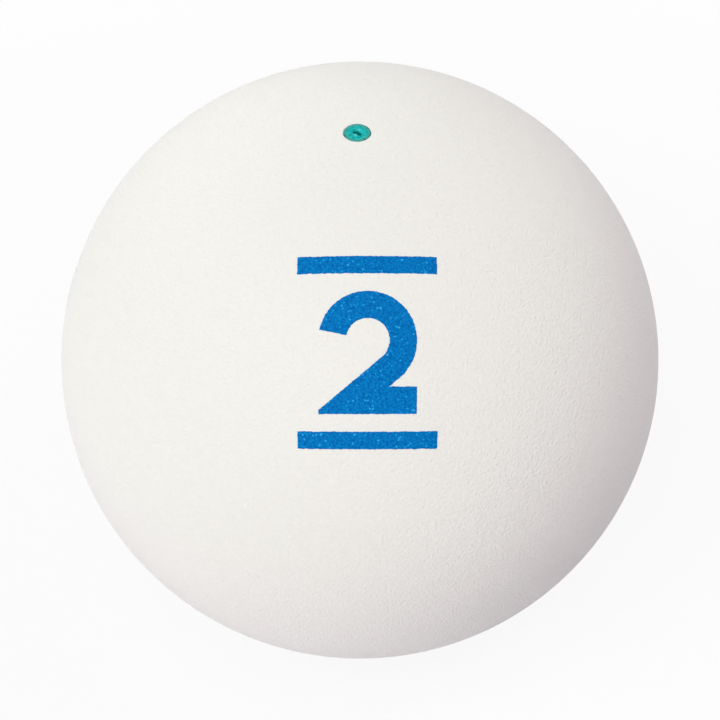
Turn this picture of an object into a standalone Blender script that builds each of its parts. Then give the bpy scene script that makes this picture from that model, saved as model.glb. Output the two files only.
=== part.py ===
"""Soft tennis ball: a hollow white rubber ball with a self-sealing inflation valve.

Two moulded half shells meet in a seam that is thickened on the inside. On the inside of one
of them sits a rubber boss. Its well holds a mushroom-shaped plug, whose stem comes out flush
with the ball, and a pellet of soft gum that closes behind the inflation needle.

Run it with: blender --background --python part.py
Lengths are metres. The origin is the ball's centre, and +Z runs out through the valve.
"""

import math

import bpy

MM = 0.001

# Driving dimensions of the ball
BALL_DIAMETER = 66 * MM
WALL = 2.2 * MM
BOND_GAP = 0.3 * MM  # glue line, left open between pieces that are bonded or pressed together
SEAM_BEAD_HEIGHT = 0.7 * MM
SEAM_BEAD_SPREAD = math.radians(6)

# Driving dimensions of the valve, whose heights run inwards from the wall's inner face
PLUG_FACE_DIAMETER = 3.0 * MM
PLUG_FACE_RECESS = 0.06 * MM
PLUG_HEAD_DIAMETER = 5.4 * MM
PLUG_HEAD_HEIGHT = 3.0 * MM
NEEDLE_HOLE_DIAMETER = 0.5 * MM
NEEDLE_LEAD_IN_DIAMETER = 0.9 * MM
NEEDLE_LEAD_IN_DEPTH = 0.35 * MM
GUM_HEIGHT = 1.7 * MM
BOSS_DIAMETER = 9.6 * MM
BOSS_FLANGE_DIAMETER = 14 * MM
BOSS_FLANGE_EDGE = 0.5 * MM
BOSS_FILLET = 1.4 * MM
BOSS_NOSE_ROUND = 1.6 * MM
BOSS_FLOOR = 1.2 * MM
BOSS_VENT_DIAMETER = 0.8 * MM
EDGE_ROUND = 0.4 * MM
FACE_EDGE_ROUND = 0.1 * MM

# Fineness of the facets
BALL_TURN_STEPS = 64
VALVE_TURN_STEPS = 32
WALL_ARC_STEPS = 16
CAVITY_ARC_STEPS = 10
BEAD_STEPS = 4
FLANGE_STEPS = 3
ROUND_STEPS = 4
MERGE_DISTANCE = 0.001 * MM
SHARP_ANGLE = math.radians(35)

# Worked out from the driving dimensions
BALL_RADIUS = BALL_DIAMETER / 2
CAVITY_RADIUS = BALL_RADIUS - WALL
STEM_RADIUS = PLUG_FACE_DIAMETER / 2
HEAD_RADIUS = PLUG_HEAD_DIAMETER / 2
VALVE_HOLE_RADIUS = STEM_RADIUS + BOND_GAP
WELL_RADIUS = HEAD_RADIUS + BOND_GAP

# Rubbers: name, colour as red, green and blue in linear light, and roughness
WHITE_RUBBER = ("white_rubber", (0.90, 0.89, 0.84), 0.60)
CREAM_RUBBER = ("cream_rubber", (0.80, 0.76, 0.66), 0.65)
TEAL_RUBBER = ("teal_rubber", (0.035, 0.42, 0.40), 0.45)
AMBER_GUM = ("amber_gum", (0.55, 0.36, 0.12), 0.30)


def cavity_height(radius):
    """Height of the cavity's wall at a distance from the valve's axis, below its highest point."""
    return math.sqrt(CAVITY_RADIUS**2 - radius**2) - CAVITY_RADIUS


def steps_between(first, last, count):
    """Evenly spaced values from first to last, both included."""
    return [first + (last - first) * i / count for i in range(count + 1)]


def arc(centre, radius, first, last, count=ROUND_STEPS):
    """Points of an arc about a centre, from one angle to another, in degrees from the profile's +X."""
    turns = [math.radians(angle) for angle in steps_between(first, last, count)]
    return [(centre[0] + radius * math.cos(t), centre[1] + radius * math.sin(t)) for t in turns]


def cavity_radius_at(latitude):
    """The cavity's radius, drawn in near the seam by the bead that the two half moulds pinch up."""
    if latitude >= SEAM_BEAD_SPREAD:
        return CAVITY_RADIUS
    swell = (1 + math.cos(math.pi * latitude / SEAM_BEAD_SPREAD)) / 2
    return CAVITY_RADIUS - SEAM_BEAD_HEIGHT * swell


def half_shell_profile(hole_radius):
    """Section of a half shell that stands on the seam with its pole up: outer face, seam, inner face."""
    seam_height = BOND_GAP / 2
    outer_pole = math.acos(hole_radius / BALL_RADIUS)
    outer_seam = math.asin(seam_height / BALL_RADIUS)
    outer = [
        (BALL_RADIUS * math.cos(latitude), BALL_RADIUS * math.sin(latitude))
        for latitude in steps_between(outer_pole, outer_seam, WALL_ARC_STEPS)
    ]
    inner_pole = math.acos(hole_radius / CAVITY_RADIUS)
    inner_seam = math.asin(seam_height / cavity_radius_at(0))
    latitudes = steps_between(inner_seam, SEAM_BEAD_SPREAD, BEAD_STEPS)
    latitudes += steps_between(SEAM_BEAD_SPREAD, inner_pole, CAVITY_ARC_STEPS)[1:]
    inner = [
        (cavity_radius_at(latitude) * math.cos(latitude), cavity_radius_at(latitude) * math.sin(latitude))
        for latitude in latitudes
    ]
    return outer + inner


def on_axis(profile):
    """The same profile with its two ends set exactly on the axis, for a piece with no hole."""
    return [(0, profile[0][1]), *profile[1:-1], (0, profile[-1][1])]


def plug_profile():
    """Section of the plug: flat face, stem through the wall, head in the boss, needle hole."""
    face = WALL - PLUG_FACE_RECESS
    shoulder = cavity_height(HEAD_RADIUS) - BOND_GAP
    foot = shoulder - PLUG_HEAD_HEIGHT
    needle_radius = NEEDLE_HOLE_DIAMETER / 2
    round_inset = HEAD_RADIUS - EDGE_ROUND
    return [
        (NEEDLE_LEAD_IN_DIAMETER / 2, face),
        *arc((STEM_RADIUS - FACE_EDGE_ROUND, face - FACE_EDGE_ROUND), FACE_EDGE_ROUND, 90, 0),
        (STEM_RADIUS, shoulder),
        *arc((round_inset, shoulder - EDGE_ROUND), EDGE_ROUND, 90, 0),
        *arc((round_inset, foot + EDGE_ROUND), EDGE_ROUND, 0, -90),
        (needle_radius, foot),
        (needle_radius, face - NEEDLE_LEAD_IN_DEPTH),
    ]


def gum_heights():
    """Top and bottom of the gum pellet, which fills the well between the plug and its floor."""
    top = cavity_height(HEAD_RADIUS) - BOND_GAP - PLUG_HEAD_HEIGHT - BOND_GAP
    return top, top - GUM_HEIGHT


def gum_profile():
    """Section of the gum pellet, a puck with round edges."""
    top, bottom = gum_heights()
    round_inset = HEAD_RADIUS - EDGE_ROUND
    return [
        (0, top),
        *arc((round_inset, top - EDGE_ROUND), EDGE_ROUND, 90, 0),
        *arc((round_inset, bottom + EDGE_ROUND), EDGE_ROUND, 0, -90),
        (0, bottom),
    ]


def boss_profile():
    """Section of the boss: seat on the wall, thin flange, fillet, round nose, vent and well."""
    body_radius = BOSS_DIAMETER / 2
    flange_radius = BOSS_FLANGE_DIAMETER / 2
    vent_radius = BOSS_VENT_DIAMETER / 2
    well_floor = gum_heights()[1] - BOND_GAP
    nose = well_floor - BOSS_FLOOR
    seat = [
        (radius, cavity_height(radius) - BOND_GAP)
        for radius in steps_between(WELL_RADIUS, flange_radius, FLANGE_STEPS)
    ]
    flange_under = seat[-1][1] - BOSS_FLANGE_EDGE
    return [
        *seat,
        (flange_radius, flange_under),
        *arc((body_radius + BOSS_FILLET, flange_under - BOSS_FILLET), BOSS_FILLET, 90, 180),
        *arc((body_radius - BOSS_NOSE_ROUND, nose + BOSS_NOSE_ROUND), BOSS_NOSE_ROUND, 0, -90),
        (vent_radius, nose),
        (vent_radius, well_floor),
        (WELL_RADIUS, well_floor),
    ]


def rubber(name, colour, roughness):
    """A matt rubber material."""
    material = bpy.data.materials.new(name)
    material.use_nodes = True
    shader = material.node_tree.nodes["Principled BSDF"]
    shader.inputs["Base Color"].default_value = (*colour, 1)
    shader.inputs["Roughness"].default_value = roughness
    shader.inputs["Metallic"].default_value = 0
    return material


def turned(name, profile, steps, material, collection):
    """A piece turned about its own Z axis. A profile that keeps off the axis is closed into a ring."""
    last = len(profile) - 1
    edges = [(i, i + 1) for i in range(last)]
    if profile[0][0] > 0:
        edges.append((last, 0))
    section = bpy.data.meshes.new(name + "_section")
    section.from_pydata([(radius, 0, height) for radius, height in profile], edges, [])
    piece = bpy.data.objects.new(name, section)
    collection.objects.link(piece)
    turn = piece.modifiers.new("turn", "SCREW")
    turn.axis = "Z"
    turn.angle = math.tau
    turn.steps = steps
    turn.render_steps = steps
    turn.use_merge_vertices = True
    turn.merge_threshold = MERGE_DISTANCE
    graph = bpy.context.evaluated_depsgraph_get()
    solid = bpy.data.meshes.new_from_object(piece.evaluated_get(graph))
    solid.name = name
    solid.shade_smooth()
    solid.set_sharp_from_angle(angle=SHARP_ANGLE)
    solid.materials.append(material)
    piece.modifiers.clear()
    piece.data = solid
    bpy.data.meshes.remove(section)
    return piece


def frame_empty(name, height, parent, collection):
    """An empty that carries pieces at a height on the valve's axis."""
    empty = bpy.data.objects.new(name, None)
    empty.location = (0, 0, height)
    empty.parent = parent
    collection.objects.link(empty)
    return empty


def build_shells(ball, collection):
    """The two half shells. The plain one is turned over to hang under the seam."""
    white = rubber(*WHITE_RUBBER)
    valve_half = half_shell_profile(VALVE_HOLE_RADIUS)
    upper = turned("shell_valve_half", valve_half, BALL_TURN_STEPS, white, collection)
    upper.parent = ball
    plain_half = on_axis(half_shell_profile(0))
    lower = turned("shell_plain_half", plain_half, BALL_TURN_STEPS, white, collection)
    lower.parent = ball
    lower.rotation_euler.x = math.pi


def build_valve(ball, collection):
    """The valve's three pieces, carried by an empty on the wall's inner face."""
    valve = frame_empty("valve_axis", CAVITY_RADIUS, ball, collection)
    pieces = (
        ("valve_boss", boss_profile(), CREAM_RUBBER),
        ("valve_plug", plug_profile(), TEAL_RUBBER),
        ("sealing_gum", gum_profile(), AMBER_GUM),
    )
    for name, profile, finish in pieces:
        piece = turned(name, profile, VALVE_TURN_STEPS, rubber(*finish), collection)
        piece.parent = valve


def main():
    """Clear the scene, then build the ball round its centre."""
    for old in list(bpy.data.objects):
        bpy.data.objects.remove(old)
    collection = bpy.data.collections.new("soft_tennis_ball")
    bpy.context.scene.collection.children.link(collection)
    ball = frame_empty("ball_centre", 0, None, collection)
    build_shells(ball, collection)
    build_valve(ball, collection)


main()
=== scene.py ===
"""Looks of a soft tennis ball: buffed white rubber, a teal needle valve and a printed number.

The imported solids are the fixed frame, in metres, with +Z out through the valve and -Y towards
the printed side. Finely turned skins stand for the solids, and a thin film of ink carries the
number. A plain white studio lights the ball, and the camera takes the photograph's place.
"""

import logging
import math
from dataclasses import dataclass
from enum import Enum

import bmesh
import bpy
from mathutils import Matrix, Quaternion, Vector
from mathutils.geometry import delaunay_2d_cdt


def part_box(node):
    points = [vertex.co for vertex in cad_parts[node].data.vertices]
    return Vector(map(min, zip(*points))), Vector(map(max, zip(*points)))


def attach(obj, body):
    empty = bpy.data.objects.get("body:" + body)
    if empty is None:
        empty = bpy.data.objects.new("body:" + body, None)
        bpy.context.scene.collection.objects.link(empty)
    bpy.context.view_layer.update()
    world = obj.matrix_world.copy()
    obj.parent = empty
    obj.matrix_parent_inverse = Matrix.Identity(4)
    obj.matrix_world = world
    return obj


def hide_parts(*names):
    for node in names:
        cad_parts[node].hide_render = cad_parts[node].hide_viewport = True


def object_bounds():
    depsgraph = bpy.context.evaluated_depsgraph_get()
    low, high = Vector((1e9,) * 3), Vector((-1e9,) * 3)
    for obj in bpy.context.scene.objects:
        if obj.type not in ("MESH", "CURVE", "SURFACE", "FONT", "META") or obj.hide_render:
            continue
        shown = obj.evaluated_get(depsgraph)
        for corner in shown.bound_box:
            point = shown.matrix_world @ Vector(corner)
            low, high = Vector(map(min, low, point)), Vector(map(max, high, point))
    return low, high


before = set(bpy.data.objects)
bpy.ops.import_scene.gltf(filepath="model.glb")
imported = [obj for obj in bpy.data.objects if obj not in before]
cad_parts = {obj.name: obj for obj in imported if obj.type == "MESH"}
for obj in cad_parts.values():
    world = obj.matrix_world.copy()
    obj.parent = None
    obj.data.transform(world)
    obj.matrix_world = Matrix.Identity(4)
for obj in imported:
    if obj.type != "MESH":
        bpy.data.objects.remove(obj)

LOG = logging.getLogger("soft_tennis_ball")
CAD_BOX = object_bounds()
BALL_RADIUS = -CAD_BOX[0].z
BODY = "root"
MM = 0.001
QUARTER_TURN = math.pi / 2
LATHE_RADIUS = 10 * MM  # of the circle that sections are swept along; it doesn't change the shape
MERGE_DISTANCE = 0.0005 * MM
CREASE_ANGLE = math.radians(40)
RUBBER_IOR = 1.52

# The sRGB curve: a straight foot up to the knee, and a power above it
SRGB_KNEE = 0.04045
SRGB_FOOT = 12.92
SRGB_OFFSET = 0.055
SRGB_POWER = 2.4

# Vectors that the node trees work with
LEVEL = (1.0, 1.0, 0.0)
OPPOSED = (1.0, -1.0, 0.0)
UP = (0.0, 0.0, 1.0)
NOISE_MIDDLE = (0.5, 0.5, 0.5)

# Finer octaves that each noise has
TRIM_DETAIL = 1.0
FRAY_DETAIL = 2.0
GRAIN_DETAIL = 1.0
SPECK_DETAIL = 0.0
EDGE_DETAIL = 2.0
PATCH_DETAIL = 3.0

# Sockets of a Mix node that mixes colours
MIX_SHARE = 0
MIX_FIRST = 6
MIX_SECOND = 7
MIX_RESULT = 2

Point = tuple[float, float]
Section = list[Point]
Colour = tuple[float, float, float, float]
Tree = bpy.types.NodeTree
Socket = bpy.types.NodeSocket
Sockets = bpy.types.NodeOutputs
Material = bpy.types.Material
Mesh = bpy.types.Mesh


class Slot(Enum):
    """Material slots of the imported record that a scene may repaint."""

    WHITE_RUBBER = "white_rubber"
    CREAM_RUBBER = "cream_rubber"
    TEAL_RUBBER = "teal_rubber"
    AMBER_GUM = "amber_gum"
    BLUE_INK = "blue_ink"


class Side(Enum):
    """Which way a half shell's pole points along the valve's axis."""

    VALVE = 1
    PLAIN = -1


def linear(code: str) -> Colour:
    """Turns an sRGB hex colour into linear light.

    Args:
        code: six hex digits, red first.

    Returns:
        Red, green, blue and an alpha of 1.
    """
    channels = [int(code[i : i + 2], 16) / 255 for i in (0, 2, 4)]
    red, green, blue = (
        c / SRGB_FOOT if c <= SRGB_KNEE else ((c + SRGB_OFFSET) / (1 + SRGB_OFFSET)) ** SRGB_POWER
        for c in channels
    )
    return red, green, blue, 1.0


WHITE_LIGHT = {"Color": linear("FFFFFF"), "Strength": 1.0}  # shows as plain white


def add_node(tree: Tree, kind: str, inputs: dict | None = None, **settings) -> bpy.types.Node:
    """Adds a node to a tree, sets it up and links it.

    Args:
        tree: the tree that takes the node.
        kind: Blender's name for the kind of node.
        inputs: a value, or the output that feeds it, for each input's name or number.
        settings: the node's own properties.

    Returns:
        The new node.
    """
    node = tree.nodes.new(kind)
    for name, value in settings.items():
        setattr(node, name, value)
    for key, value in (inputs or {}).items():
        if isinstance(value, Socket):
            tree.links.new(value, node.inputs[key])
        else:
            node.inputs[key].default_value = value
    return node


def spaced(first: float, last: float, count: int) -> list[float]:
    """Evenly spaced values.

    Args:
        first: the first value.
        last: the last value.
        count: the number of steps between them.

    Returns:
        The values, both ends included.
    """
    return [first + (last - first) * i / count for i in range(count + 1)]


def arc(centre: Point, radius: float, first: float, last: float, count: int) -> Section:
    """Points of an arc.

    Args:
        centre: the arc's centre.
        radius: the arc's radius.
        first: the angle that it starts at, in degrees from +X.
        last: the angle that it ends at, in degrees from +X.
        count: the number of steps.

    Returns:
        The points, both ends included.
    """
    turns = [math.radians(angle) for angle in spaced(first, last, count)]
    return [(centre[0] + radius * math.cos(t), centre[1] + radius * math.sin(t)) for t in turns]


def direction(azimuth: float, elevation: float) -> Vector:
    """Unit vector from the ball's centre.

    Args:
        azimuth: in degrees to the right of the front, which is -Y.
        elevation: in degrees above the floor.

    Returns:
        The vector.
    """
    a, e = math.radians(azimuth), math.radians(elevation)
    return Vector((math.sin(a) * math.cos(e), -math.cos(a) * math.cos(e), math.sin(e)))


def new_tree(name: str, sockets: dict[str, str]) -> tuple[Tree, Sockets]:
    """Starts a geometry tree with named inputs and one geometry output.

    Args:
        name: the tree's name.
        sockets: the type of each named input.

    Returns:
        The tree, and the sockets that give what its inputs hold.
    """
    tree = bpy.data.node_groups.new(name, "GeometryNodeTree")
    for label, kind in sockets.items():
        tree.interface.new_socket(label, in_out="INPUT", socket_type=kind)
    tree.interface.new_socket("Piece", in_out="OUTPUT", socket_type="NodeSocketGeometry")
    return tree, add_node(tree, "NodeGroupInput").outputs


def end_tree(tree: Tree, made: Socket, material: Socket) -> None:
    """Ends a geometry tree: points merged, real geometry only, and its material.

    Args:
        tree: the tree to end.
        made: the geometry that it made.
        material: the input that holds the material.
    """
    merge = {"Geometry": made, "Distance": MERGE_DISTANCE}
    closed = add_node(tree, "GeometryNodeMergeByDistance", merge)
    real = add_node(tree, "GeometryNodeRealizeInstances", {"Geometry": closed.outputs[0]})
    dress = {"Geometry": real.outputs[0], "Material": material}
    dressed = add_node(tree, "GeometryNodeSetMaterial", dress)
    add_node(tree, "NodeGroupOutput", {"Piece": dressed.outputs[0]})


def off_axis(tree: Tree, place: Socket) -> tuple[Socket, Socket]:
    """Measures how far points lie from the Z axis.

    Args:
        tree: the tree that takes the nodes.
        place: the points' coordinates.

    Returns:
        The level vector from the axis to a point, and its length.
    """
    flat = add_node(tree, "ShaderNodeVectorMath", {0: place, 1: LEVEL}, operation="MULTIPLY")
    away = add_node(tree, "ShaderNodeVectorMath", {0: flat.outputs[0]}, operation="LENGTH")
    return flat.outputs[0], away.outputs["Value"]


def fading(tree: Tree, strength: float | Socket, reach: Socket) -> tuple[Socket, Socket]:
    """Measures how strongly a change on the Z axis still works at a point of the lathe's wall.

    Args:
        tree: the lathe's tree.
        strength: of the change, on the axis.
        reach: the input that holds the radius at which it has died away.

    Returns:
        The level vector from the axis to a point, and the strength there.
    """
    flat, away = off_axis(tree, add_node(tree, "GeometryNodeInputPosition").outputs[0])
    span = {"Value": away, "From Min": 0.0, "From Max": reach, "To Min": strength, "To Max": 0.0}
    left = add_node(tree, "ShaderNodeMapRange", span, interpolation_type="SMOOTHSTEP")
    return flat, left.outputs[0]


def wander(tree: Tree, place: Socket, size: Socket, detail: float) -> Socket:
    """Adds a noise that pushes points about, as far one way as the other.

    Args:
        tree: the geometry tree.
        place: the points' coordinates.
        size: the input that holds the width of the noise's waves.
        detail: the noise's finer octaves.

    Returns:
        The push, of up to half a unit along each axis.
    """
    per_metre = add_node(tree, "ShaderNodeMath", {0: 1.0, 1: size}, operation="DIVIDE")
    waves = {"Vector": place, "Scale": per_metre.outputs[0], "Detail": detail}
    noise = add_node(tree, "ShaderNodeTexNoise", waves)
    centred = {0: noise.outputs["Color"], 1: NOISE_MIDDLE}
    return add_node(tree, "ShaderNodeVectorMath", centred, operation="SUBTRACT").outputs[0]


def swept_section(tree: Tree, wants: Sockets) -> Socket:
    """Sweeps the lathe's section round the Z axis.

    Args:
        tree: the lathe's tree.
        wants: what its inputs hold.

    Returns:
        The turned wall.
    """
    line = add_node(tree, "GeometryNodeMeshToCurve", {"Mesh": wants["Section"]})
    circle = {"Resolution": wants["Steps"], "Radius": LATHE_RADIUS}
    path = add_node(tree, "GeometryNodeCurvePrimitiveCircle", circle)
    upright = add_node(tree, "GeometryNodeSetCurveNormal", {"Curve": path.outputs[0]}, mode="Z_UP")
    sweep = {"Curve": upright.outputs[0], "Profile Curve": line.outputs[0]}
    return add_node(tree, "GeometryNodeCurveToMesh", sweep).outputs[0]


def pinched_hole(tree: Tree, wants: Sockets) -> Socket:
    """Pinches the hole on the Z axis to two lobes, with lips beside them.

    Args:
        tree: the lathe's tree.
        wants: what its inputs hold.

    Returns:
        How far each point of the wall moves.
    """
    flat, near = fading(tree, 1.0, wants["Pin Reach"])

    # The lobes follow the cosine of twice the angle from Pin Angle
    turn = {0: flat, "Angle": wants["Pin Angle"]}
    along = add_node(tree, "ShaderNodeVectorRotate", turn, rotation_type="Z_AXIS", invert=True)
    unit = add_node(tree, "ShaderNodeVectorMath", {0: along.outputs[0]}, operation="NORMALIZE")
    heading = unit.outputs[0]
    across = add_node(tree, "ShaderNodeVectorMath", {0: heading, 1: OPPOSED}, operation="MULTIPLY")
    squares = {0: heading, 1: across.outputs[0]}
    lobes = add_node(tree, "ShaderNodeVectorMath", squares, operation="DOT_PRODUCT").outputs["Value"]
    ahead = add_node(tree, "ShaderNodeSeparateXYZ", {0: heading}).outputs["X"]
    biased = {0: ahead, 1: wants["Pin Bias"], 2: lobes}
    uneven = add_node(tree, "ShaderNodeMath", biased, operation="MULTIPLY_ADD").outputs[0]
    stretch = add_node(tree, "ShaderNodeMath", {0: near, 1: wants["Pin Stretch"]}, operation="MULTIPLY")
    swing = add_node(tree, "ShaderNodeMath", {0: uneven, 1: stretch.outputs[0]}, operation="MULTIPLY")
    wider = {0: flat, "Scale": swing.outputs[0]}
    spread = add_node(tree, "ShaderNodeVectorMath", wider, operation="SCALE")

    beside = add_node(tree, "ShaderNodeMath", {0: 0.0, 1: lobes}, operation="SUBTRACT", use_clamp=True)
    lift = add_node(tree, "ShaderNodeMath", {0: near, 1: wants["Pin Lift"]}, operation="MULTIPLY")
    lips = {0: beside.outputs[0], 1: lift.outputs[0]}
    height = add_node(tree, "ShaderNodeMath", lips, operation="MULTIPLY")
    raised = add_node(tree, "ShaderNodeCombineXYZ", {"Z": height.outputs[0]})
    both = {0: spread.outputs[0], 1: raised.outputs[0]}
    return add_node(tree, "ShaderNodeVectorMath", both, operation="ADD").outputs[0]


def trimmed_edge(tree: Tree, wants: Sockets) -> Socket:
    """Makes the edge round the Z axis a little uneven, as a blade leaves it.

    Args:
        tree: the lathe's tree.
        wants: what its inputs hold.

    Returns:
        How far each point of the wall moves.
    """
    flat, share = fading(tree, wants["Trim Wander"], wants["Trim Reach"])
    push = {0: wander(tree, flat, wants["Trim Size"], TRIM_DETAIL), 1: LEVEL}
    sideways = add_node(tree, "ShaderNodeVectorMath", push, operation="MULTIPLY")
    scaled = {0: sideways.outputs[0], "Scale": share}
    return add_node(tree, "ShaderNodeVectorMath", scaled, operation="SCALE").outputs[0]


def turned_wall_tree() -> Tree:
    """A lathe: sweeps a section round the Z axis.

    The trimmed edge and the pin-hole aren't quite round on the real valve. Trim Wander pushes the
    points within Trim Reach of the axis about. Pin Stretch gives those within Pin Reach two lobes,
    Pin Bias makes one lobe larger, and Pin Lift raises the lips that pinch the hole between them.

    Returns:
        The tree.
    """
    tree, wants = new_tree(
        "turned_wall",
        {
            "Section": "NodeSocketGeometry",
            "Steps": "NodeSocketInt",
            "Trim Wander": "NodeSocketFloat",
            "Trim Reach": "NodeSocketFloat",
            "Trim Size": "NodeSocketFloat",
            "Pin Stretch": "NodeSocketFloat",
            "Pin Bias": "NodeSocketFloat",
            "Pin Lift": "NodeSocketFloat",
            "Pin Angle": "NodeSocketFloat",
            "Pin Reach": "NodeSocketFloat",
            "Material": "NodeSocketMaterial",
        },
    )
    wall = swept_section(tree, wants)
    for offset in (pinched_hole(tree, wants), trimmed_edge(tree, wants)):
        moved = {"Geometry": wall, "Offset": offset}
        wall = add_node(tree, "GeometryNodeSetPosition", moved).outputs[0]
    end_tree(tree, wall, wants["Material"])
    return tree


def rolled_place(tree: Tree, wants: Sockets) -> Socket:
    """Finds where a flat outline's points go when it is frayed and rolled on to the ball.

    Args:
        tree: the press's tree.
        wants: what its inputs hold.

    Returns:
        The points' places on the ball.
    """
    place = add_node(tree, "GeometryNodeInputPosition").outputs[0]
    push = {0: wander(tree, place, wants["Fray Size"], FRAY_DETAIL), "Scale": wants["Fray"]}
    fray = add_node(tree, "ShaderNodeVectorMath", push, operation="SCALE")
    moved = add_node(tree, "ShaderNodeVectorMath", {0: place, 1: fray.outputs[0]}, operation="ADD")
    flat, reach = off_axis(tree, moved.outputs[0])

    bend = add_node(tree, "ShaderNodeMath", {0: reach, 1: wants["Film Radius"]}, operation="DIVIDE")
    axis = add_node(tree, "ShaderNodeVectorMath", {0: UP, 1: flat}, operation="CROSS_PRODUCT")
    pole = add_node(tree, "ShaderNodeCombineXYZ", {"Z": wants["Film Radius"]})
    roll = {"Vector": pole.outputs[0], "Axis": axis.outputs[0], "Angle": bend.outputs[0]}
    rolled = add_node(tree, "ShaderNodeVectorRotate", roll, rotation_type="AXIS_ANGLE")
    spin = add_node(tree, "ShaderNodeCombineXYZ", {"X": wants["Tilt"], "Z": wants["Turn"]})
    turn = {"Vector": rolled.outputs[0], "Rotation": spin.outputs[0]}
    return add_node(tree, "ShaderNodeVectorRotate", turn, rotation_type="EULER_XYZ").outputs[0]


def printed_film_tree() -> Tree:
    """A pad press: frays a flat outline's edge, rolls it on to the ball and gives it a thickness.

    Returns:
        The tree.
    """
    tree, wants = new_tree(
        "printed_film",
        {
            "Flat": "NodeSocketGeometry",
            "Film Radius": "NodeSocketFloat",
            "Tilt": "NodeSocketFloat",
            "Turn": "NodeSocketFloat",
            "Thickness": "NodeSocketFloat",
            "Fray": "NodeSocketFloat",
            "Fray Size": "NodeSocketFloat",
            "Material": "NodeSocketMaterial",
        },
    )
    rolled = {"Geometry": wants["Flat"], "Position": rolled_place(tree, wants)}
    laid = add_node(tree, "GeometryNodeSetPosition", rolled)
    rise = {"Mesh": laid.outputs[0], "Offset Scale": wants["Thickness"], "Individual": False}
    raised = add_node(tree, "GeometryNodeExtrudeMesh", rise, mode="FACES")
    both = add_node(tree, "GeometryNodeJoinGeometry", {"Geometry": raised.outputs["Mesh"]})
    tree.links.new(laid.outputs[0], both.inputs["Geometry"])
    end_tree(tree, both.outputs[0], wants["Material"])
    return tree


def made_by_tree(name: str, start: Mesh, tree: Tree, inputs: dict[str, object]) -> bpy.types.Object:
    """Runs a geometry tree on a starting mesh and keeps the result as a plain mesh.

    Args:
        name: the piece's name.
        start: the mesh that the tree is given.
        tree: the geometry tree.
        inputs: a value for each of the tree's named inputs.

    Returns:
        The piece, at the origin, with no modifier left on it.
    """
    piece = bpy.data.objects.new(name, start)
    bpy.context.scene.collection.objects.link(piece)
    modifier = piece.modifiers.new(tree.name, "NODES")
    modifier.node_group = tree
    for socket in tree.interface.items_tree:
        if socket.name in inputs:
            modifier[socket.identifier] = inputs[socket.name]
    graph = bpy.context.evaluated_depsgraph_get()
    mesh = bpy.data.meshes.new_from_object(piece.evaluated_get(graph))
    piece.modifiers.clear()
    piece.data = mesh
    mesh.name = name
    shape = bmesh.new()
    shape.from_mesh(mesh)
    bmesh.ops.recalc_face_normals(shape, faces=shape.faces)
    shape.to_mesh(mesh)
    shape.free()
    mesh.shade_smooth()
    mesh.set_sharp_from_angle(angle=CREASE_ANGLE)
    bpy.data.meshes.remove(start)
    return piece


def section_mesh(section: Section) -> Mesh:
    """Draws a section as the line that the lathe sweeps.

    Args:
        section: radius and height of each point, in order.

    Returns:
        The line, closed into a loop where the section keeps off the axis.
    """
    edges = [(i, i + 1) for i in range(len(section) - 1)]
    if section[0][0] > 0:
        edges.append((len(section) - 1, 0))
    mesh = bpy.data.meshes.new("section")
    mesh.from_pydata([(radius - LATHE_RADIUS, -height, 0.0) for radius, height in section], edges, [])
    return mesh


def join_frame(piece: bpy.types.Object, slot: Slot, *nodes: str) -> None:
    """Puts a piece on the ball's body, hides the solids that it stands for and logs its slot.

    Args:
        piece: the finished piece.
        slot: the record's slot, whose name is logged with the piece.
        nodes: the solids that it replaces.
    """
    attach(piece, BODY)
    if nodes:
        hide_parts(*nodes)
    LOG.info("%s: %d faces, slot %s", piece.name, len(piece.data.polygons), slot.value)


@dataclass(frozen=True)
class Grain:
    """The fine relief that moulding and buffing leave on rubber.

    Attributes:
        size: width of one grain.
        depth: height of the relief.
    """

    size: float
    depth: float

    def relief(self, tree: Tree, place: Socket) -> Socket:
        """Adds the relief to a material.

        Args:
            tree: the material's nodes.
            place: the coordinates that the grain follows.

        Returns:
            The normal that the shader takes.
        """
        grains = {"Vector": place, "Scale": 1 / self.size, "Detail": GRAIN_DETAIL}
        noise = add_node(tree, "ShaderNodeTexNoise", grains)
        bump = add_node(tree, "ShaderNodeBump", {"Height": noise.outputs["Fac"], "Distance": self.depth})
        return bump.outputs[0]


class Measure(Enum):
    """What decides how much of the second colour a spot holds."""

    RADIUS = "distance from the valve's axis"
    HEIGHT = "height along the valve's axis"
    SPECKS = "fine noise"


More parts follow.
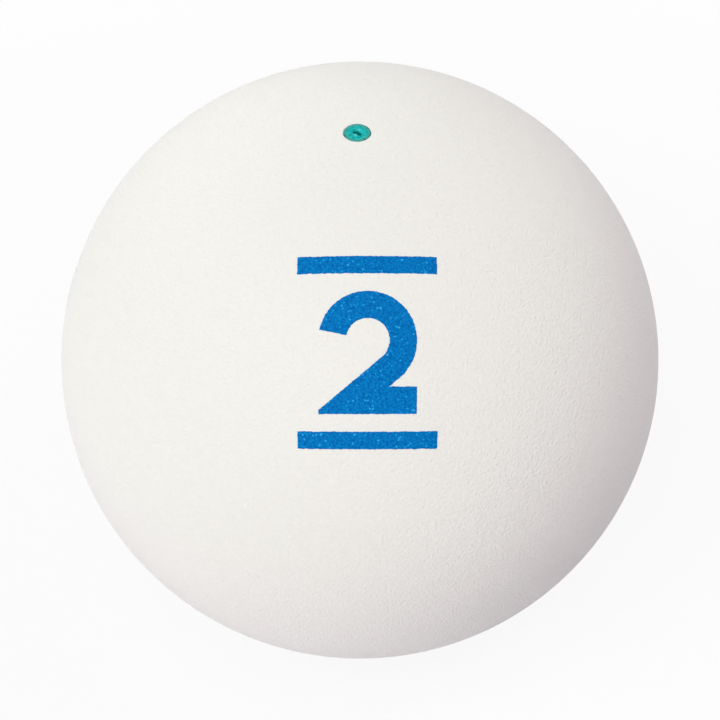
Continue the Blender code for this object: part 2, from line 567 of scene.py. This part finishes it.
@dataclass(frozen=True)
class PaintedLightAndSpeck:
    """A second colour over part of a surface: painted shade, painted highlights and specks.

    Attributes:
        tone: the second colour, in sRGB hex.
        measure: what decides how much of it a spot holds.
        bare: level of that measure at which the surface still has its own colour.
        full: level of that measure at which the second colour covers it.
        size: width of a speck, or of the waves of a ragged edge.
        ragged: how far those waves push the second colour's edge about.
    """

    tone: str
    measure: Measure
    bare: float
    full: float
    size: float = 0.2 * MM
    ragged: float = 0.0

    def level(self, tree: Tree, place: Socket) -> Socket:
        """Adds what the second colour is measured by.

        Args:
            tree: the material's nodes.
            place: the piece's own coordinates.

        Returns:
            A spot's radius, height or noise level.
        """
        if self.measure is Measure.RADIUS:
            return off_axis(tree, place)[1]
        if self.measure is Measure.HEIGHT:
            return add_node(tree, "ShaderNodeSeparateXYZ", {0: place}).outputs["Z"]
        specks = {"Vector": place, "Scale": 1 / self.size, "Detail": SPECK_DETAIL}
        return add_node(tree, "ShaderNodeTexNoise", specks).outputs["Fac"]

    def lay(self, tree: Tree, place: Socket, colour: Socket) -> Socket:
        """Lays the second colour over a material's colour.

        Args:
            tree: the material's nodes.
            place: the piece's own coordinates.
            colour: the clean surface's colour.

        Returns:
            The colour with the second colour over it.
        """
        level = self.level(tree, place)
        if self.ragged:
            edge = {"Vector": place, "Scale": 1 / self.size, "Detail": EDGE_DETAIL}
            waves = add_node(tree, "ShaderNodeTexNoise", edge)
            pushed = {0: waves.outputs["Fac"], 1: self.ragged, 2: level}
            level = add_node(tree, "ShaderNodeMath", pushed, operation="MULTIPLY_ADD").outputs[0]
        middle = self.ragged / 2
        span = {"Value": level, "From Min": self.bare + middle, "From Max": self.full + middle}
        share = add_node(tree, "ShaderNodeMapRange", span, interpolation_type="SMOOTHSTEP")
        laid = {MIX_SHARE: share.outputs[0], MIX_FIRST: colour, MIX_SECOND: linear(self.tone)}
        return add_node(tree, "ShaderNodeMix", laid, data_type="RGBA").outputs[MIX_RESULT]


@dataclass(frozen=True)
class MottledFinish:
    """A matt surface whose colour drifts a little between two tones.

    Attributes:
        name: the material's common name and how its surface was made.
        tone: main colour, in sRGB hex.
        drift: colour of the patches, in sRGB hex.
        patch: width of a patch.
        low: noise level at which a patch begins.
        high: noise level at which a patch is full.
        roughness: of the surface.
        shine: specular level, 0.5 for plain rubber.
        chalk: roughness of the diffuse light, which keeps a powdery surface bright up to its outline.
        grain: the surface's relief.
        painted_light_and_specks: painted shade, painted highlights and specks over it, in order.
    """

    name: str
    tone: str
    drift: str
    patch: float
    low: float
    high: float
    roughness: float
    shine: float
    chalk: float
    grain: Grain
    painted_light_and_specks: tuple[PaintedLightAndSpeck, ...] = ()

    def colour(self, tree: Tree, place: Socket) -> Socket:
        """Adds the surface's colour: two tones in patches, and painted light and specks over them.

        Args:
            tree: the material's nodes.
            place: the piece's own coordinates.

        Returns:
            The colour that the shader takes.
        """
        patches = {"Vector": place, "Scale": 1 / self.patch, "Detail": PATCH_DETAIL}
        noise = add_node(tree, "ShaderNodeTexNoise", patches).outputs["Fac"]
        band = {"Value": noise, "From Min": self.low, "From Max": self.high}
        share = add_node(tree, "ShaderNodeMapRange", band).outputs[0]
        tones = {MIX_SHARE: share, MIX_FIRST: linear(self.tone), MIX_SECOND: linear(self.drift)}
        colour = add_node(tree, "ShaderNodeMix", tones, data_type="RGBA").outputs[MIX_RESULT]
        for overlay in self.painted_light_and_specks:
            colour = overlay.lay(tree, place, colour)
        return colour

    def material(self) -> Material:
        """Builds the material.

        Returns:
            The material, on Object coordinates.
        """
        made = bpy.data.materials.new(self.name)
        made.use_nodes = True
        tree = made.node_tree
        shader = tree.nodes["Principled BSDF"]
        place = add_node(tree, "ShaderNodeTexCoord").outputs["Object"]
        tree.links.new(self.colour(tree, place), shader.inputs["Base Color"])
        tree.links.new(self.grain.relief(tree, place), shader.inputs["Normal"])
        shader.inputs["Roughness"].default_value = self.roughness
        shader.inputs["Specular IOR Level"].default_value = self.shine
        shader.inputs["Diffuse Roughness"].default_value = self.chalk
        shader.inputs["IOR"].default_value = RUBBER_IOR
        return made


# The real grain is finer and shallower: it is drawn this coarse and deep so that it shows
BUFFED_GRAIN = Grain(size=0.30 * MM, depth=0.15 * MM)
CUT_GRAIN = Grain(size=0.30 * MM, depth=0.05 * MM)
SKIM_GRAIN = Grain(size=0.80 * MM, depth=0.02 * MM)
# Painted shade: the plug's face turns darker and greyer from 0.9 mm out towards its edge
PAINTED_RIM_SHADE = PaintedLightAndSpeck("46AAA0", Measure.RADIUS, bare=0.90 * MM, full=1.38 * MM)
# Painted shade: a dark ring with a ragged edge on the plug's edge, in the line round it
PAINTED_EDGE_SHADE = PaintedLightAndSpeck(
    "3C746C", Measure.RADIUS, bare=1.33 * MM, full=1.50 * MM, size=0.60 * MM, ragged=0.80 * MM
)
# Painted shade: the pin-hole's walls turn dark teal with depth below the face
PAINTED_PIN_SHADE = PaintedLightAndSpeck("04847E", Measure.HEIGHT, bare=BALL_RADIUS - 0.09 * MM, full=BALL_RADIUS - 0.28 * MM)
# Painted highlight: the lips beside the pin-hole, where they rise above the face, are paler
PAINTED_LIP_HIGHLIGHT = PaintedLightAndSpeck("74DCD6", Measure.HEIGHT, bare=BALL_RADIUS - 0.03 * MM, full=BALL_RADIUS + 0.03 * MM)
INK_PINPRICKS = PaintedLightAndSpeck("42BEF4", Measure.SPECKS, bare=0.735, full=0.825, size=0.24 * MM)

# Natural rubber, white with pigment, moulded and then buffed: chalky, with a grain that shows
# only where the light skims it
WHITE_RUBBER = MottledFinish(
    name="buffed_white_rubber",
    tone="F5F4F0",
    drift="F5F3EF",
    patch=0.6 * MM,
    low=0.45,
    high=0.75,
    roughness=0.62,
    shine=0.5,
    chalk=0.9,
    grain=BUFFED_GRAIN,
)
# Coloured rubber, moulded and cut flush: a little smoother than the ball, mottled by the blade,
# with painted shade towards its edge, in the line round it and in the pin-hole, and a painted
# highlight on the hole's lips
TEAL_RUBBER = MottledFinish(
    name="cut_teal_rubber",
    tone="1CCECE",
    drift="009E98",
    patch=0.30 * MM,
    low=0.40,
    high=0.64,
    roughness=0.45,
    shine=0.13,
    chalk=0.4,
    grain=CUT_GRAIN,
    painted_light_and_specks=(PAINTED_RIM_SHADE, PAINTED_EDGE_SHADE, PAINTED_PIN_SHADE, PAINTED_LIP_HIGHLIGHT),
)
# Uncoloured natural rubber, bonded inside and never buffed: cream, with a coarse skin
CREAM_RUBBER = MottledFinish(
    name="raw_cream_rubber",
    tone="E8E0CC",
    drift="DCD0B4",
    patch=2.0 * MM,
    low=0.40,
    high=0.70,
    roughness=0.65,
    shine=0.4,
    chalk=0.5,
    grain=SKIM_GRAIN,
)
# Uncured gum: amber and tacky, so glossier than the rest
AMBER_GUM = MottledFinish(
    name="uncured_amber_gum",
    tone="C39A5E",
    drift="A87C40",
    patch=1.5 * MM,
    low=0.40,
    high=0.70,
    roughness=0.30,
    shine=0.5,
    chalk=0.0,
    grain=SKIM_GRAIN,
)
# Pad-printed ink, pressed thin over the grain: saturated blue, finely mottled, with a few pale
# pinpricks where it missed a pore
BLUE_INK = MottledFinish(
    name="pad_printed_blue_ink",
    tone="0069B6",
    drift="0892DC",
    patch=0.24 * MM,
    low=0.32,
    high=0.68,
    roughness=0.60,
    shine=0.03,
    chalk=0.5,
    grain=BUFFED_GRAIN,
    painted_light_and_specks=(INK_PINPRICKS,),
)


@dataclass
class BallShell:
    """The two half shells, turned finely and brought together so that no seam shows.

    Attributes:
        lathe: the tree that turns a section.
        hole_radius: of the valve's hole.
        wall: thickness of the rubber.
        lip: round on the edge of the valve's hole.
        bead_height: how far the seam swells into the cavity.
        bead_spread: latitude at which the swelling ends, in radians.
        thin_ring: latitude of the last ring, in radians, which keeps the shading true to the seam.
        steps: facets round the ball.
        outer_rings: rings on the outer face.
        inner_rings: rings on the cavity's face above the bead.
        bead_rings: rings on the bead.
        lip_rings: rings on the lip.
    """

    lathe: Tree
    hole_radius: float
    wall: float = 2.2 * MM
    lip: float = 0.05 * MM
    bead_height: float = 0.7 * MM
    bead_spread: float = math.radians(6)
    thin_ring: float = math.radians(0.02)
    steps: int = 288
    outer_rings: int = 84
    inner_rings: int = 24
    bead_rings: int = 6
    lip_rings: int = 6

    def cavity_radius(self, latitude: float) -> float:
        """The cavity's radius, drawn in near the seam by the bead.

        Args:
            latitude: in radians from the seam.

        Returns:
            The radius at that latitude.
        """
        inner = BALL_RADIUS - self.wall
        if latitude >= self.bead_spread:
            return inner
        return inner - self.bead_height * (1 + math.cos(math.pi * latitude / self.bead_spread)) / 2

    def outer_face(self, pole: float) -> Section:
        """The outer face from near the pole to the seam.

        Args:
            pole: latitude at which the face starts, in radians.

        Returns:
            The face's points.
        """
        latitudes = [*spaced(pole, self.thin_ring, self.outer_rings), 0.0]
        return [(BALL_RADIUS * math.cos(t), BALL_RADIUS * math.sin(t)) for t in latitudes]

    def inner_face(self, pole: float) -> Section:
        """The cavity's face from the seam to near the pole.

        Args:
            pole: latitude at which the face ends, in radians.

        Returns:
            The face's points.
        """
        latitudes = spaced(0.0, self.bead_spread, self.bead_rings)
        latitudes += spaced(self.bead_spread, pole, self.inner_rings)[1:]
        rings = [(self.cavity_radius(t), t) for t in latitudes]
        return [(radius * math.cos(t), radius * math.sin(t)) for radius, t in rings]

    def section(self, side: Side) -> Section:
        """A half shell's section with its pole up.

        Args:
            side: the half to draw.

        Returns:
            A closed loop for the half with the hole, and otherwise a line from axis to axis.
        """
        if side is Side.PLAIN:
            outer, inner = self.outer_face(QUARTER_TURN), self.inner_face(QUARTER_TURN)
            return [(0.0, BALL_RADIUS), *outer[1:], *inner[:-1], (0.0, BALL_RADIUS - self.wall)]
        edge = self.hole_radius + self.lip
        lip_height = math.sqrt(BALL_RADIUS**2 - edge**2) - self.lip
        lip = arc((edge, lip_height), self.lip, 180, 90, self.lip_rings)
        inner_pole = math.acos(self.hole_radius / (BALL_RADIUS - self.wall))
        return [*lip, *self.outer_face(math.acos(edge / BALL_RADIUS))[1:], *self.inner_face(inner_pole)]

    def build(self, material: Material, trim: dict[str, float]) -> None:
        """Turns both halves and puts them in the frame.

        Args:
            material: the rubber's finish.
            trim: the lathe's inputs for the valve's slightly uneven hole.
        """
        for side, node in ((Side.VALVE, "shell_valve_half"), (Side.PLAIN, "shell_plain_half")):
            inputs = {"Steps": self.steps, "Material": material, **trim}
            mesh = section_mesh(self.section(side))
            half = made_by_tree("skin_" + node, mesh, self.lathe, inputs)
            if side is Side.PLAIN:
                half.data.transform(Quaternion((1, 0, 0), math.pi).to_matrix().to_4x4())
            join_frame(half, Slot.WHITE_RUBBER, node)


@dataclass
class NeedleValve:
    """The plug that shows in the ball's surface, and the boss and gum behind it.

    Attributes:
        lathe: the tree that turns a section.
        face_radius: of the plug's face.
        face_drop: how far the face lies under the ball's surface.
        edge: round on the face's edge.
        hole_clearance: width of the line between the plug and the ball.
        dimple_depth: how far the face dips towards the pin-hole.
        dimple_width: reach of that dip.
        head_height: of the plug's head, behind the wall.
        head_round: round on the head's edges.
        gum_bulge: how far the gum swells at its waist.
        pin_radius: of the pin-hole's mouth, before it gets its two lobes.
        pin_depth: of the pocket under the mouth.
        pocket_radius: of that pocket, at half its depth.
        duct_radius: of the needle's duct below it.
        lip_round: round on the mouth's edge.
        pin_stretch: how far the lobes stretch the hole, as a share of its radius.
        pin_bias: how much larger one lobe is than the other.
        pin_lift: height of the lips between the lobes.
        pin_angle: of the lobes, in radians from +X.
        pin_reach: radius at which lobes and lips have died away.
        trim_wander: strength of the uneven trim.
        trim_reach: radius at which it has died away.
        trim_size: width of its waves.
        steps: facets round the plug.
        face_rings: rings on the face.
        round_rings: rings on each round.
        gum_rings: rings on the gum's side.
    """

    lathe: Tree
    face_radius: float = 1.47 * MM
    face_drop: float = 0.04 * MM
    edge: float = 0.06 * MM
    hole_clearance: float = 0.03 * MM
    dimple_depth: float = 0.06 * MM
    dimple_width: float = 0.55 * MM
    head_height: float = 3.0 * MM
    head_round: float = 0.4 * MM
    gum_bulge: float = 0.5 * MM
    pin_radius: float = 0.39 * MM
    pin_depth: float = 0.8 * MM
    pocket_radius: float = 0.33 * MM
    duct_radius: float = 0.16 * MM
    lip_round: float = 0.10 * MM
    pin_stretch: float = 0.36
    pin_bias: float = 0.3
    pin_lift: float = 0.14 * MM
    pin_angle: float = math.radians(-30)
    pin_reach: float = 1.2 * MM
    trim_wander: float = 0.32 * MM
    trim_reach: float = 2.6 * MM
    trim_size: float = 1.0 * MM
    steps: int = 96
    face_rings: int = 12
    round_rings: int = 5
    gum_rings: int = 12

    @property
    def hole_radius(self) -> float:
        """Radius of the hole that the plug fills."""
        return self.face_radius + self.hole_clearance

    @property
    def trim(self) -> dict[str, float]:
        """The lathe's inputs that make the plug's outline and its hole uneven alike."""
        reach = {"Trim Reach": self.trim_reach, "Trim Size": self.trim_size}
        return {"Trim Wander": self.trim_wander, **reach}

    @property
    def pinch(self) -> dict[str, float]:
        """The lathe's inputs that pinch the pin-hole.

        Returns:
            A value for each input's name.
        """
        return {
            "Pin Stretch": self.pin_stretch,
            "Pin Bias": self.pin_bias,
            "Pin Lift": self.pin_lift,
            "Pin Angle": self.pin_angle,
            "Pin Reach": self.pin_reach,
        }

    def face_height(self, radius: float) -> float:
        """Height of the plug's face, which follows the ball and dips towards the pin-hole."""
        dome = math.sqrt((BALL_RADIUS - self.face_drop) ** 2 - radius**2)
        return dome - self.dimple_depth * math.exp(-((radius / self.dimple_width) ** 2))

    def plug_section(self) -> Section:
        """The plug's section: pin-hole, face, stem, shoulder and head.

        Returns:
            A closed loop.
        """
        low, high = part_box("valve_plug")
        foot = low.z
        shoulder = foot + self.head_height
        head_inset = high.x - self.head_round
        rim = self.face_radius - self.edge
        mouth = self.face_height(self.pin_radius)
        mouth_rim = self.pin_radius + self.lip_round
        face = [(r, self.face_height(r)) for r in spaced(mouth_rim, rim, self.face_rings)]
        rings = self.round_rings
        return [
            (self.duct_radius, mouth - self.pin_depth),
            (self.pocket_radius, mouth - self.pin_depth / 2),
            *arc((mouth_rim, mouth - self.lip_round), self.lip_round, 180, 90, rings),
            *face[1:],
            *arc((rim, face[-1][1] - self.edge), self.edge, 90, 0, rings)[1:],
            (self.face_radius, shoulder),
            *arc((head_inset, shoulder - self.head_round), self.head_round, 90, 0, rings),
            *arc((head_inset, foot + self.head_round), self.head_round, 0, -90, rings),
            (self.duct_radius, foot),
        ]

    def gum_section(self) -> Section:
        """The gum pellet's section, slack enough to bulge at its waist.

        Returns:
            A line from axis to axis.
        """
        low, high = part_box("sealing_gum")
        middle, half = (low.z + high.z) / 2, (high.z - low.z) / 2
        inset = high.x - self.gum_bulge
        turns = spaced(QUARTER_TURN, -QUARTER_TURN, self.gum_rings)
        side = [(inset + self.gum_bulge * math.cos(t), middle + half * math.sin(t)) for t in turns]
        return [(0.0, high.z), *side, (0.0, low.z)]

    def build(self, plug: Material, boss: Material, gum: Material) -> None:
        """Turns the plug and the gum, and dresses the boss.

        Args:
            plug: the plug's finish.
            boss: the boss's finish.
            gum: the gum's finish.
        """
        shape = {"Steps": self.steps, "Material": plug, **self.trim, **self.pinch}
        piece = made_by_tree("plug_valve", section_mesh(self.plug_section()), self.lathe, shape)
        join_frame(piece, Slot.TEAL_RUBBER, "valve_plug")

        shape = {"Steps": self.steps, "Material": gum}
        piece = made_by_tree("gum_valve", section_mesh(self.gum_section()), self.lathe, shape)
        join_frame(piece, Slot.AMBER_GUM, "sealing_gum")

        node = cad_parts["valve_boss"]
        node.material_slots[0].material = boss
        LOG.info("valve_boss: dressed in %s", boss.name)


@dataclass
class PrintedNumber:
    """A plain number between two bars, printed on the side that faces the camera.

    Attributes:
        press: the tree that lays a flat outline on the ball.
        latitude: of the print's middle, in radians.
        azimuth: of the print's middle, in radians to the right of the front.
        twist: of the whole print, in radians, to the right.
        height: of the numeral.
        width: of the numeral.
        stroke: width of the numeral's line.
        bow_start: angle at which the numeral's bow starts, in degrees from +X.
        bow_end: angle at which its slanting stroke leaves the bow, in degrees from +X.
        bar_width: of the bars above and below.
        bar_height: of the bars above and below.
        gap: between the numeral and a bar.
        thickness: of the ink, above the ball.
        sink: how far the film reaches into the ball, so that no light gets under it.
        fray: strength of the ragged edge.
        fray_size: width of its waves.
        edge_step: distance between points on an outline.
        grid_step: distance between points inside it.
        bow_steps: steps on the bow's outer arc.
        hollow_steps: steps on its inner arc.
    """

    press: Tree
    latitude: float = math.radians(44.0)
    azimuth: float = math.radians(2.0)
    twist: float = math.radians(2.0)
    height: float = 13.0 * MM
    width: float = 10.4 * MM
    stroke: float = 2.9 * MM
    bow_start: float = 168.0
    bow_end: float = -50.0
    bar_width: float = 15.0 * MM
    bar_height: float = 1.9 * MM
    gap: float = 1.9 * MM
    thickness: float = 0.03 * MM
    sink: float = 0.02 * MM
    fray: float = 0.20 * MM
    fray_size: float = 0.28 * MM
    edge_step: float = 0.1 * MM
    grid_step: float = 0.6 * MM
    bow_steps: int = 32
    hollow_steps: int = 24

    def numeral(self) -> Section:
        """Outline of a 2: a bow, a slanting stroke that leaves it at a tangent, and a foot.

        Returns:
            The outline's points.
        """
        outer, inner = self.width / 2, self.width / 2 - self.stroke
        top, base, left = self.height / 2, -self.height / 2, -self.width / 2
        centre = (0.0, top - outer)
        slope = math.tan(math.radians(self.bow_end + 90))
        bow = arc(centre, outer, self.bow_start, self.bow_end, self.bow_steps)
        hollow = arc(centre, inner, self.bow_end, self.bow_start, self.hollow_steps)
        foot_top = base + self.stroke
        slant_x = bow[-1][0] - (bow[-1][1] - foot_top) / slope
        heel_y = hollow[0][1] - (hollow[0][0] - left) * slope
        foot = [(slant_x, foot_top), (-left, foot_top), (-left, base), (left, base), (left, heel_y)]
        return [*bow, *foot, *hollow]

    def bar(self, middle: float) -> Section:
        """Outline of a bar whose middle is at a height."""
        x, y = self.bar_width / 2, self.bar_height / 2
        return [(-x, middle - y), (x, middle - y), (x, middle + y), (-x, middle + y)]

    def outlines(self) -> list[Section]:
        """Every outline of the print, flat, about its middle.

        Returns:
            The numeral and its two bars, with their twist.
        """
        middle = self.height / 2 + self.gap + self.bar_height / 2
        c, s = math.cos(self.twist), math.sin(self.twist)
        straight = (self.numeral(), self.bar(middle), self.bar(-middle))
        return [[(c * x + s * y, c * y - s * x) for x, y in outline] for outline in straight]

    def flat_mesh(self) -> Mesh:
        """Fills the outlines with small triangles, so that the print can bend round the ball.

        Returns:
            The flat print.
        """
        points: list[Vector] = []
        edges: list[tuple[int, int]] = []
        for outline in self.outlines():
            first = len(points)
            for (x0, y0), (x1, y1) in zip(outline, outline[1:] + outline[:1]):
                count = max(1, round(math.dist((x0, y0), (x1, y1)) / self.edge_step))
                points += [
                    Vector((x0 + (x1 - x0) * i / count, y0 + (y1 - y0) * i / count)) for i in range(count)
                ]
            ids = list(range(first, len(points)))
            edges += list(zip(ids, ids[1:] + ids[:1]))
        reach = max(max(abs(p.x), abs(p.y)) for p in points)
        ticks = spaced(-reach, reach, round(2 * reach / self.grid_step))
        points += [Vector((x, y)) for x in ticks for y in ticks]
        inside_only = 1
        nearest_mm = 1e-4
        found = delaunay_2d_cdt([p / MM for p in points], edges, [], inside_only, nearest_mm)
        mesh = bpy.data.meshes.new("flat_print")
        mesh.from_pydata([(p.x * MM, p.y * MM, 0.0) for p in found[0]], [], found[2])
        return mesh

    def build(self, ink: Material) -> None:
        """Prints the number on the ball.

        Args:
            ink: the ink's finish.
        """
        inputs = {
            "Film Radius": BALL_RADIUS - self.sink,
            "Tilt": QUARTER_TURN - self.latitude,
            "Turn": self.azimuth,
            "Thickness": self.sink + self.thickness,
            "Fray": self.fray,
            "Fray Size": self.fray_size,
            "Material": ink,
        }
        film = made_by_tree("printed_number", self.flat_mesh(), self.press, inputs)
        join_frame(film, Slot.BLUE_INK)


@dataclass(frozen=True)
class SoftBox:
    """A large soft lamp that faces the ball.

    Attributes:
        name: of the lamp.
        azimuth: in degrees to the right of the front.
        elevation: in degrees above the floor.
        power: in watts.
        colour: of the light, in sRGB hex.
        side: length of the lamp's sides.
        distance: from the ball's centre.
    """

    name: str
    azimuth: float
    elevation: float
    power: float
    colour: str
    side: float = 0.5
    distance: float = 0.8

    def build(self) -> None:
        """Hangs the lamp."""
        lamp = bpy.data.lights.new(self.name, "AREA")
        lamp.size = self.side
        lamp.energy = self.power
        lamp.color = linear(self.colour)[:3]
        hung = bpy.data.objects.new(self.name, lamp)
        out = direction(self.azimuth, self.elevation)
        hung.location = out * self.distance
        hung.rotation_euler = out.to_track_quat("Z", "Y").to_euler()
        hung.visible_camera = False
        bpy.context.scene.collection.objects.link(hung)


SOFT_BOXES = (
    SoftBox("key_left", azimuth=-30, elevation=35, power=2.55, colour="FEFCFF"),
    SoftBox("high_left", azimuth=-30, elevation=60, power=2.42, colour="F7FFF5"),
    SoftBox("high_right", azimuth=85, elevation=60, power=1.40, colour="FFF0FC"),
    SoftBox("back_right", azimuth=130, elevation=10, power=2.06, colour="FFFDFD"),
    SoftBox("back_left", azimuth=-150, elevation=10, power=1.32, colour="FDFFFD"),
)


@dataclass
class Studio:
    """A plain pale floor, soft lamps and the camera.

    Attributes:
        view_elevation: of the camera, in degrees above the floor.
        view_distance: of the camera from the ball's centre.
        view_roll: of the camera, in degrees.
        ball_pixels: the ball's radius in the picture.
        picture_pixels: the picture's width.
        fill: strength of the light from all round.
        fill_colour: of that light, in sRGB hex.
        paper: colour of the floor, in sRGB hex, with the faint mauve that the shade picks up.
        floor_radius: of the round floor.
        floor_sides: of its outline.
        glow_near: share of plain white in the floor under the ball, as the camera sees it.
        glow_far: the same share away from the ball.
        glow_reach: distance at which it gets there, in radii of the ball.
    """

    view_elevation: float = 42.62
    view_distance: float = 0.6
    view_roll: float = -0.71
    ball_pixels: float = 298.5
    picture_pixels: float = 720.0
    fill: float = 0.10
    fill_colour: str = "FFF8FD"
    paper: str = "F2ECF3"
    floor_radius: float = 2.0
    floor_sides: int = 96
    glow_near: float = 0.90
    glow_far: float = 1.0
    glow_reach: float = 5.0

    def build_camera(self) -> None:
        """Puts the camera at the photograph's angle, with the ball as large as it is there."""
        lens = bpy.data.cameras.new("camera")
        focal_pixels = self.ball_pixels / math.tan(math.asin(BALL_RADIUS / self.view_distance))
        lens.lens = focal_pixels * lens.sensor_width / self.picture_pixels
        camera = bpy.data.objects.new("camera", lens)
        out = direction(0, self.view_elevation)
        camera.location = out * self.view_distance
        roll = Quaternion((0, 0, 1), math.radians(self.view_roll))
        camera.rotation_euler = (out.to_track_quat("Z", "Y") @ roll).to_euler()
        bpy.context.scene.collection.objects.link(camera)
        bpy.context.scene.camera = camera

    def shows(self, tree: Tree) -> Socket:
        """Marks the rays that show the background itself: straight, mirrored or through glass.

        Args:
            tree: the nodes of the world or of the floor.

        Returns:
            1 for such a ray, and otherwise 0.
        """
        path = add_node(tree, "ShaderNodeLightPath").outputs
        rays = {0: path["Is Camera Ray"], 1: path["Is Glossy Ray"]}
        both = add_node(tree, "ShaderNodeMath", rays, operation="ADD")
        rays = {0: both.outputs[0], 1: path["Is Transmission Ray"]}
        return add_node(tree, "ShaderNodeMath", rays, operation="ADD", use_clamp=True).outputs[0]

    def build_world(self) -> None:
        """Light from all round, and a white background."""
        world = bpy.data.worlds.new("studio")
        world.use_nodes = True
        bpy.context.scene.world = world
        tree = world.node_tree
        tree.nodes.clear()
        light = {"Color": linear(self.fill_colour), "Strength": self.fill}
        fill = add_node(tree, "ShaderNodeBackground", light)
        white = add_node(tree, "ShaderNodeBackground", WHITE_LIGHT)
        mix = {0: self.shows(tree), 1: fill.outputs[0], 2: white.outputs[0]}
        mixed = add_node(tree, "ShaderNodeMixShader", mix)
        add_node(tree, "ShaderNodeOutputWorld", {"Surface": mixed.outputs[0]})

    def floor_material(self) -> Material:
        """Pale paper that glows to the camera, more so away from the ball: only its shadow shows.

        Returns:
            The material.
        """
        made = bpy.data.materials.new("white_paper_floor")
        made.use_nodes = True
        tree = made.node_tree
        tree.nodes.clear()
        paper = add_node(tree, "ShaderNodeBsdfDiffuse", {"Color": linear(self.paper)})
        glow = add_node(tree, "ShaderNodeEmission", WHITE_LIGHT)
        place = add_node(tree, "ShaderNodeTexCoord").outputs["Object"]
        away = add_node(tree, "ShaderNodeVectorMath", {0: place}, operation="LENGTH").outputs["Value"]
        span = {"Value": away, "From Min": BALL_RADIUS, "From Max": self.glow_reach * BALL_RADIUS}
        span |= {"To Min": self.glow_near, "To Max": self.glow_far}
        share = add_node(tree, "ShaderNodeMapRange", span, interpolation_type="SMOOTHSTEP")
        seen = {0: share.outputs[0], 1: self.shows(tree)}
        part = add_node(tree, "ShaderNodeMath", seen, operation="MULTIPLY")
        mix = {0: part.outputs[0], 1: paper.outputs[0], 2: glow.outputs[0]}
        mixed = add_node(tree, "ShaderNodeMixShader", mix)
        add_node(tree, "ShaderNodeOutputMaterial", {"Surface": mixed.outputs[0]})
        return made

    def build_floor(self) -> None:
        """A round floor that the ball stands on."""
        mesh = bpy.data.meshes.new("floor")
        shape = bmesh.new()
        bmesh.ops.create_circle(shape, cap_ends=True, segments=self.floor_sides, radius=self.floor_radius)
        bmesh.ops.translate(shape, verts=shape.verts, vec=(0, 0, -BALL_RADIUS))
        shape.to_mesh(mesh)
        shape.free()
        floor = bpy.data.objects.new("floor", mesh)
        mesh.materials.append(self.floor_material())
        bpy.context.scene.collection.objects.link(floor)

    def build(self) -> None:
        """Sets up the whole studio."""
        bpy.context.scene.view_settings.view_transform = "Standard"
        self.build_camera()
        self.build_world()
        self.build_floor()
        for box in SOFT_BOXES:
            box.build()
        LOG.info("studio: %d soft lamps", len(SOFT_BOXES))


def main() -> None:
    """Builds the ball and its studio, piece by piece."""
    logging.basicConfig(level=logging.INFO, format="%(name)s: %(message)s")
    lathe, press = turned_wall_tree(), printed_film_tree()
    valve = NeedleValve(lathe)
    BallShell(lathe, valve.hole_radius).build(WHITE_RUBBER.material(), valve.trim)
    valve.build(TEAL_RUBBER.material(), CREAM_RUBBER.material(), AMBER_GUM.material())
    PrintedNumber(press).build(BLUE_INK.material())
    Studio().build()


if __name__ == "__main__":
    main()
